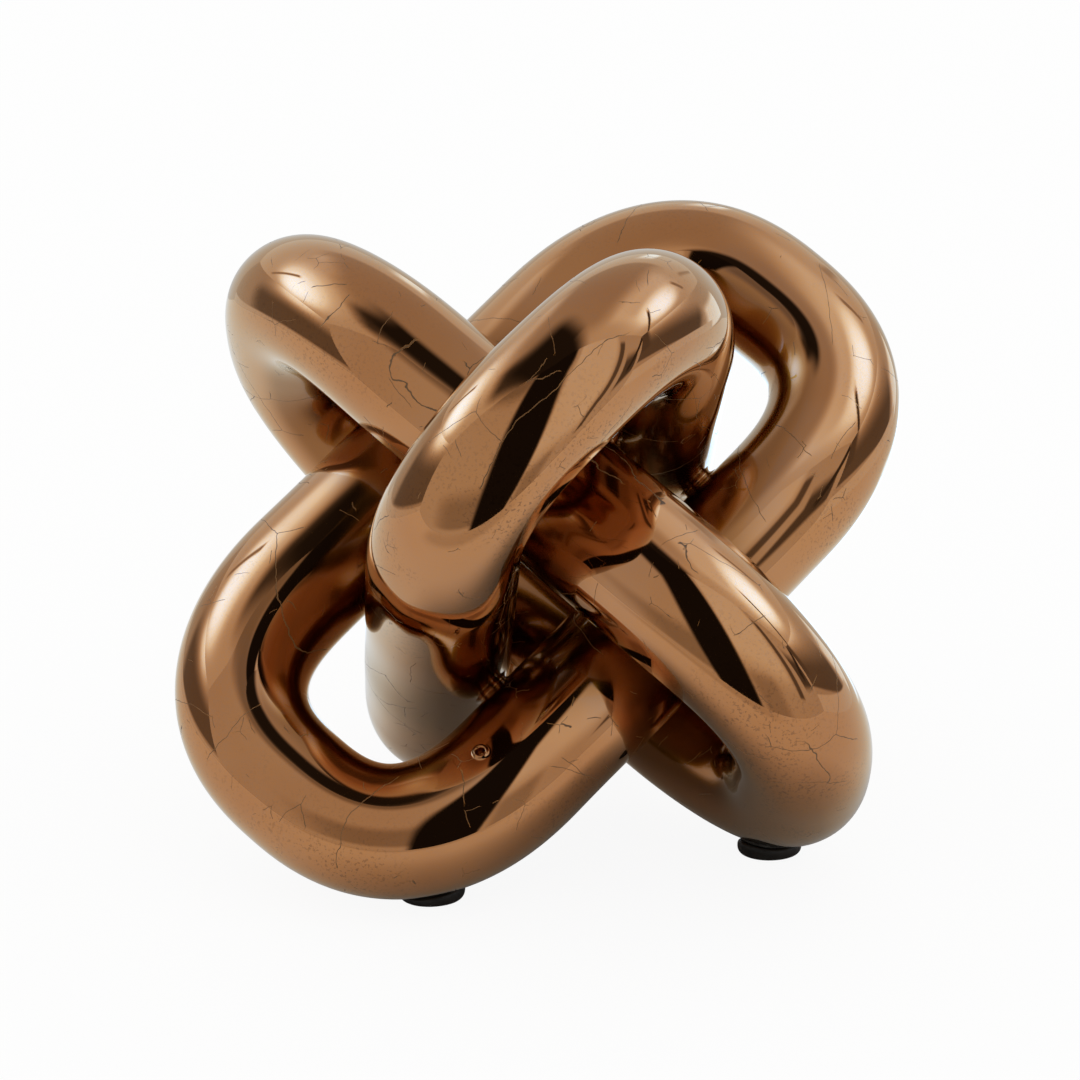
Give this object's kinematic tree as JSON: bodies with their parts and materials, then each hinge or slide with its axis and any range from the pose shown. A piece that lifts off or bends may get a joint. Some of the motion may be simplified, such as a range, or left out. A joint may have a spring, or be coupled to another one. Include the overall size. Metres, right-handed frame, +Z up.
{
  "type": "ceramic chain sculpture",
  "caption": "Tabletop sculpture in glossy bronze-glazed ceramic: fat hollow oval links knotted through and round one another like a loose chain, standing tilted on small round stick-on pads.",
  "frame": {"origin": "middle of the object's box, on the surface that the object stands on", "axes": "+Z up from that surface, -Y towards the front, +X to the right as seen from the front"},
  "size_m": [0.1488, 0.1522, 0.1365],
  "materials": {
    "lustre_glaze": "mirror-bright copper-bronze lustre glaze with fine crackle",
    "glazed_slip": "the same glaze, pooled over slip joints",
    "black_pad": "black, satin",
    "pad_tape": "dark adhesive tape"
  },
  "bodies": {
    "root": {"face_link": "lustre_glaze", "cross_link": "lustre_glaze", "upright_link_low_half": "lustre_glaze", "upright_link_high_half": "lustre_glaze", "upright_link_right_joint": "glazed_slip", "upright_link_left_joint": "glazed_slip", "face_to_upright_slip_1": "glazed_slip", "face_to_upright_slip_2": "glazed_slip", "face_to_upright_slip_3": "glazed_slip", "face_to_upright_slip_4": "glazed_slip", "cross_to_face_slip_1": "glazed_slip", "cross_to_face_slip_2": "glazed_slip", "cross_to_face_slip_3": "glazed_slip", "cross_to_face_slip_4": "glazed_slip", "upright_to_cross_slip_1": "glazed_slip", "upright_to_cross_slip_2": "glazed_slip", "upright_to_cross_slip_3": "glazed_slip", "upright_to_cross_slip_4": "glazed_slip", "face_pad": "black_pad", "cross_pad": "black_pad", "upright_pad": "black_pad", "face_pad_tape": "pad_tape", "cross_pad_tape": "pad_tape", "upright_pad_tape": "pad_tape"}
  },
  "joints": []
}
